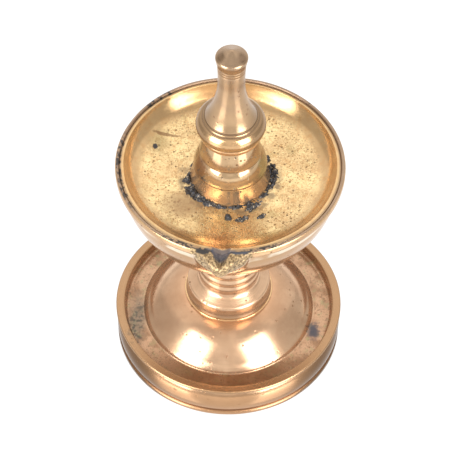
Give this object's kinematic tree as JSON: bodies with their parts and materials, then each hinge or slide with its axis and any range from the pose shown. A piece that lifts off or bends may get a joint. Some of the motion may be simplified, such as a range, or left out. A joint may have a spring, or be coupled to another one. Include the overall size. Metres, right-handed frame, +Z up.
{
  "type": "diya oil lamp",
  "caption": "Standing brass oil lamp: dished foot, ribbed stem, shallow oil bowl with a pinched wick beak, and a turned finial through its middle.",
  "frame": {"origin": "middle of the ring that the foot stands on", "axes": "+Z up the lamp's axis; -Y is the front, towards the wick beak; +X is right seen from the front"},
  "size_m": [0.0829, 0.0878, 0.1524],
  "materials": {
    "base_brass": "worn, rosy cast brass with dull tarnish in its channel",
    "washer_brass": "bright turned brass",
    "stem_brass": "worn turned brass",
    "cup_brass": "worn turned brass, rough as cast round the beak",
    "pan_brass": "worn yellow brass with fine dark pitting",
    "stud_brass": "cut thread",
    "lac": "black resin and soot, cracked and lumpy",
    "collar_brass": "worn turned brass with sooty pits",
    "ring_brass": "bright turned brass",
    "finial_brass": "fine turning lines, darker at the cap"
  },
  "bodies": {
    "base": {"base": "base_brass"},
    "stem_washer": {"stem_washer": "washer_brass"},
    "stem": {"stem": "stem_brass"},
    "bowl_washer": {"bowl_washer": "washer_brass"},
    "bowl": {"bowl_cup": "cup_brass", "oil_pan": "pan_brass", "post_stud": "stud_brass", "lac_seal": "lac", "post_collar": "collar_brass"},
    "finial_ring": {"finial_ring": "ring_brass"},
    "finial": {"finial": "finial_brass"}
  },
  "joints": [
    {"name": "stem_lift", "type": "slide", "parent": "base", "child": "stem_washer", "axis": [0, 0, 1], "range_m": [0, 0.006]},
    {"name": "stem_unscrew", "type": "hinge", "parent": "stem_washer", "child": "stem", "pos_m": [0, 0, 0.0238], "axis": [0, 0, 1], "range_deg": [0, 1081]},
    {"name": "bowl_lift", "type": "slide", "parent": "stem", "child": "bowl_washer", "axis": [0, 0, 1], "range_m": [0, 0.006]},
    {"name": "bowl_unscrew", "type": "hinge", "parent": "bowl_washer", "child": "bowl", "pos_m": [0, 0, 0.0584], "axis": [0, 0, 1], "range_deg": [0, 1081]},
    {"name": "finial_lift", "type": "slide", "parent": "bowl", "child": "finial_ring", "axis": [0, 0, 1], "range_m": [0, 0.006]},
    {"name": "finial_unscrew", "type": "hinge", "parent": "finial_ring", "child": "finial", "pos_m": [0, 0, 0.1122], "axis": [0, 0, 1], "range_deg": [0, 1441]}
  ],
  "couplings": [
    {"joint": "stem_unscrew", "follows": "stem_lift", "rad_per_m": 3141.6},
    {"joint": "bowl_unscrew", "follows": "bowl_lift", "rad_per_m": 3141.6},
    {"joint": "finial_unscrew", "follows": "finial_lift", "rad_per_m": 4188.8}
  ]
}
